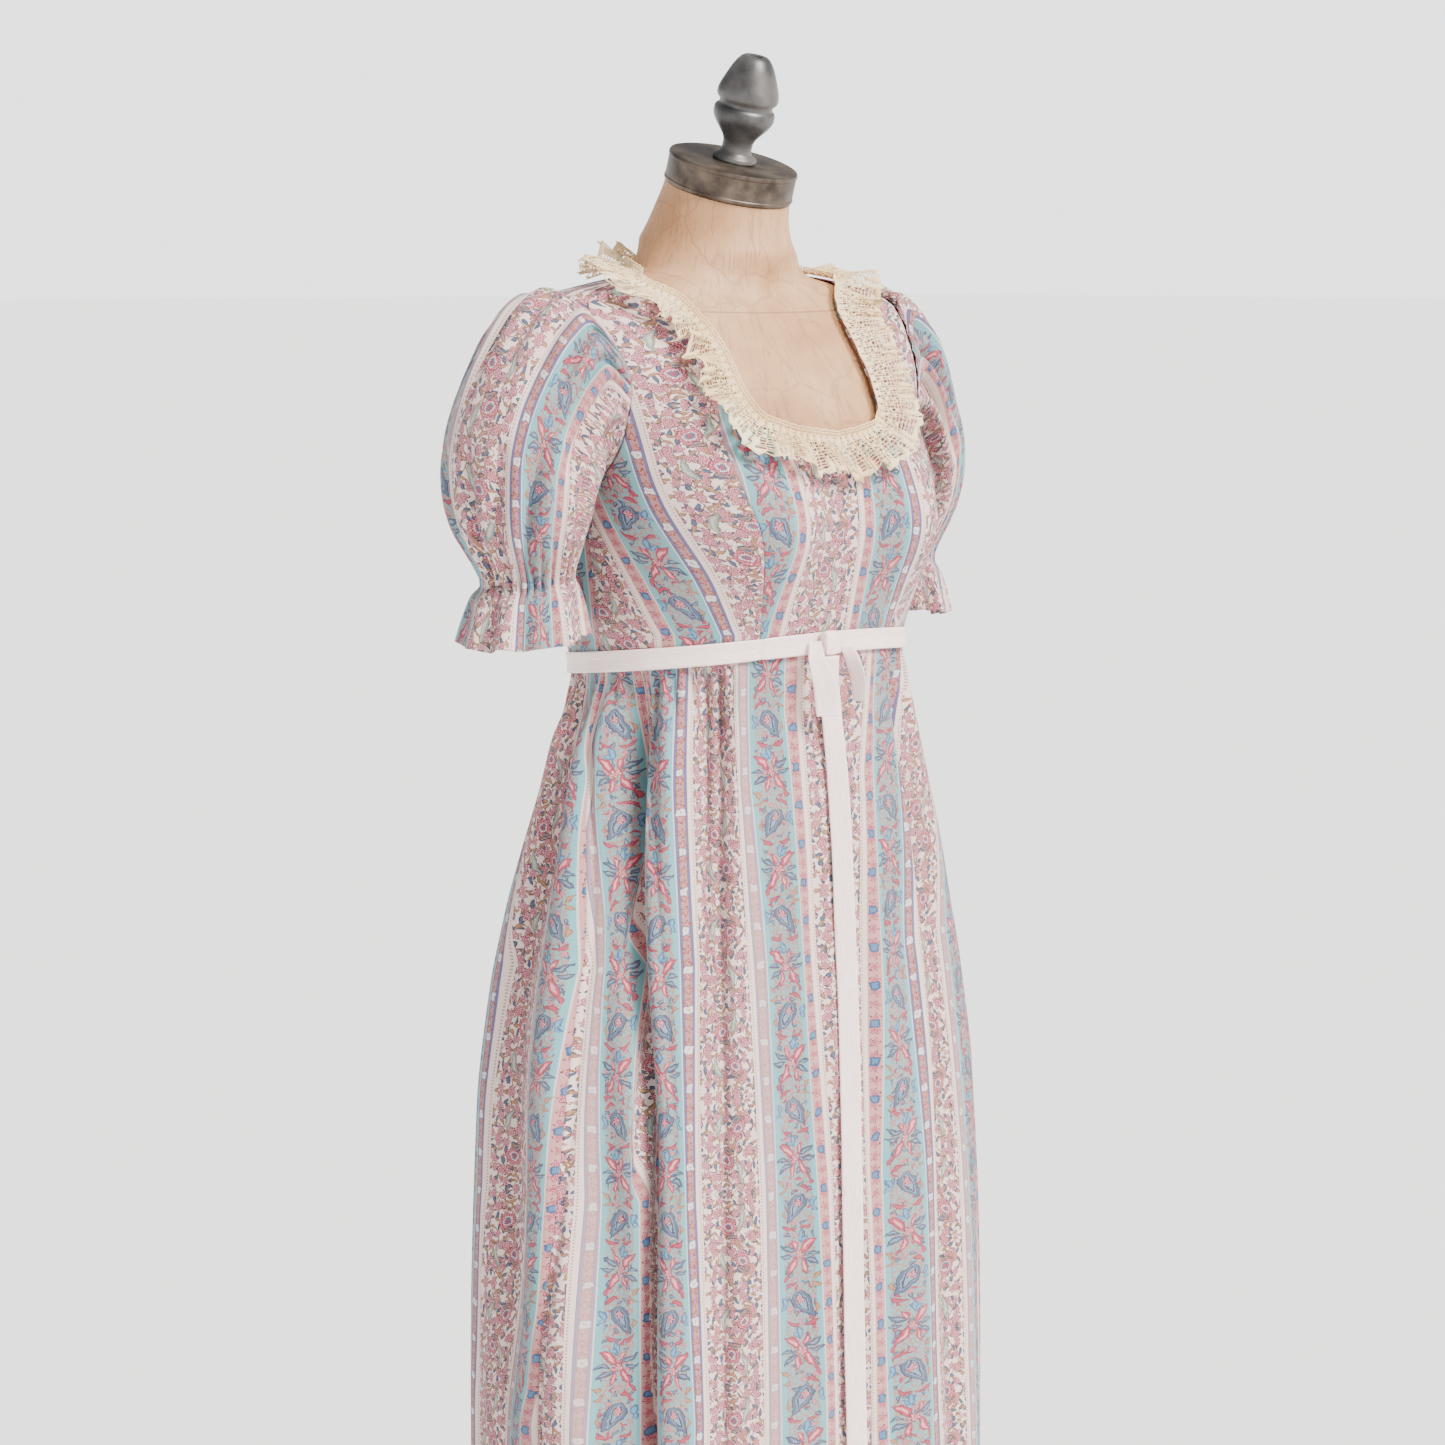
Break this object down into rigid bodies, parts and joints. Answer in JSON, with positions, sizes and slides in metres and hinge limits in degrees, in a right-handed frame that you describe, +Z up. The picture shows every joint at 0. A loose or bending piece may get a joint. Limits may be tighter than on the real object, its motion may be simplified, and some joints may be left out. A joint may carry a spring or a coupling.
{
  "type": "prairie dress on dress form",
  "caption": "Long empire-line prairie dress with puff sleeves, lace neckline and ribbon sash, worn by a papered limbless dress form on a round stand.",
  "frame": {"origin": "centre of the base plate's underside, on the floor", "axes": "+Z up; the wearer faces -Y; the wearer's left is +X"},
  "size_m": [0.5008, 0.36, 1.5761],
  "materials": {
    "kraft_paper": "matte layered brown paper, papier-mache",
    "aged_bronze": "dark antiqued bronze, satin",
    "cast_metal": "dark grey cast, satin",
    "printed_cotton": "fine plain-weave cotton with a striped floral print",
    "crochet_lace": "ecru cotton crochet lace",
    "satin_ribbon": "soft pale pink satin ribbon"
  },
  "bodies": {
    "root": {"form_torso": "kraft_paper", "form_neck_cap": "aged_bronze", "form_finial": "cast_metal", "form_collar": "cast_metal", "form_pole": "cast_metal", "form_base": "cast_metal", "bodice_front_centre": "printed_cotton", "bodice_front_side_right": "printed_cotton", "bodice_front_side_left": "printed_cotton", "bodice_back_right": "printed_cotton", "bodice_back_left": "printed_cotton", "sleeve_right": "printed_cotton", "sleeve_left": "printed_cotton", "skirt_front": "printed_cotton", "skirt_back": "printed_cotton", "neckline_lace": "crochet_lace", "ribbon_band": "satin_ribbon", "ribbon_knot": "satin_ribbon", "ribbon_tail_long": "satin_ribbon", "ribbon_end_short": "satin_ribbon", "ribbon_loop_right": "satin_ribbon"}
  },
  "joints": []
}
